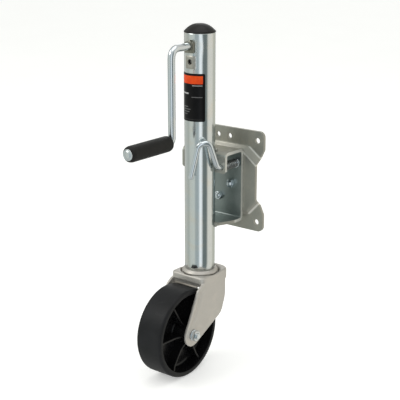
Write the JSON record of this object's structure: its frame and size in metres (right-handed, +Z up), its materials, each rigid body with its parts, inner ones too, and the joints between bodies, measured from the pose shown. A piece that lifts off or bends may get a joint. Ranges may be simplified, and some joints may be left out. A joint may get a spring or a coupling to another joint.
{
  "type": "trailer tongue jack",
  "caption": "Swing-up trailer tongue jack: bolt-on swivel bracket, side-wind crank, screw-driven telescoping tube and a swivelling caster wheel.",
  "frame": {"origin": "on the back face of the mounting plate, the face that lies on the trailer tongue, in the middle of its upper flange", "axes": "+Z up along the jack's tube, +Y out of the plate's back face towards the trailer tongue, +X to the right seen from the crank"},
  "size_m": [0.164, 0.2504, 0.5833],
  "materials": {
    "bright_zinc": "bright zinc plate, mirror-like",
    "satin_zinc": "satin zinc plate, slightly warm",
    "steel": "dark plain steel",
    "bronze": "bronze nut",
    "black_plastic": "matte black",
    "black_poly": "black poly, satin tread and glossier inside",
    "label": "dark printed film"
  },
  "bodies": {
    "mount": {"mounting_plate": "satin_zinc"},
    "jack": {"swivel_channel": "satin_zinc", "swivel_spacer": "satin_zinc", "swivel_disc": "satin_zinc", "swivel_bolt_1": "bright_zinc", "swivel_bolt_2": "bright_zinc", "swivel_bolt_3": "bright_zinc", "swivel_bolt_4": "bright_zinc", "swivel_nut_1": "bright_zinc", "swivel_nut_2": "bright_zinc", "swivel_nut_3": "bright_zinc", "swivel_nut_4": "bright_zinc", "weld_upper": "satin_zinc", "weld_lower": "satin_zinc", "outer_tube": "bright_zinc", "top_cap": "black_plastic", "crank_bushing_front": "steel", "crank_bushing_rear": "steel", "bearing_plate": "steel", "thrust_bearing": "steel", "label": "label"},
    "crank": {"crank_rod": "bright_zinc", "bevel_pinion": "steel", "pinion_pin": "steel", "crank_clip": "steel", "grip_washer": "bright_zinc"},
    "grip": {"crank_grip": "black_plastic"},
    "screw": {"lead_screw": "steel", "bevel_gear": "steel", "gear_pin": "steel", "screw_stop": "steel"},
    "ram": {"inner_tube": "bright_zinc", "lead_nut": "bronze", "ram_base": "steel", "kingpin": "steel", "kingpin_nut": "steel", "upper_race": "satin_zinc"},
    "caster": {"fork": "satin_zinc", "ball_ring": "steel", "axle_bolt": "bright_zinc", "axle_nut": "bright_zinc", "axle_sleeve": "steel", "axle_washer_left": "bright_zinc", "axle_washer_right": "bright_zinc"},
    "wheel": {"wheel": "black_poly", "hub_bushing_left": "black_plastic", "hub_bushing_right": "black_plastic"},
    "pull_pin": {"pull_pin": "bright_zinc", "pin_collar": "bright_zinc", "pin_spring": "steel"}
  },
  "joints": [
    {"name": "swing", "type": "hinge", "parent": "mount", "child": "jack", "pos_m": [0, -0.011, -0.078], "axis": [0, 1, 0], "range_deg": [-90, 90]},
    {"name": "crank_turn", "type": "hinge", "parent": "jack", "child": "crank", "pos_m": [0, -0.071, 0.1595], "axis": [0, 1, 0], "range_deg": [0, 22680]},
    {"name": "grip_spin", "type": "hinge", "parent": "crank", "child": "grip", "pos_m": [0, -0.199, 0.012], "axis": [0, 1, 0], "continuous": true},
    {"name": "screw_turn", "type": "hinge", "parent": "jack", "child": "screw", "pos_m": [0, -0.071, 0.01], "axis": [0, 0, 1], "range_deg": [-15125, 5]},
    {"name": "ram_slide", "type": "slide", "parent": "jack", "child": "ram", "axis": [0, 0, -1], "range_m": [-0.0005, 0.2525]},
    {"name": "caster_swivel", "type": "hinge", "parent": "ram", "child": "caster", "pos_m": [0, -0.071, -0.23], "axis": [0, 0, 1], "continuous": true},
    {"name": "wheel_spin", "type": "hinge", "parent": "caster", "child": "wheel", "pos_m": [0, -0.133, -0.3138], "axis": [1, 0, 0], "continuous": true},
    {"name": "pin_pull", "type": "slide", "parent": "jack", "child": "pull_pin", "axis": [0, -1, 0], "range_m": [0, 0.012], "stiffness_N_per_m": 900, "springref_m": -0.006, "deforming": ["pin_spring"]}
  ],
  "couplings": [
    {"joint": "screw_turn", "follows": "crank_turn", "ratio": -0.66667},
    {"joint": "ram_slide", "follows": "crank_turn", "m_per_rad": 0.00063662}
  ]
}
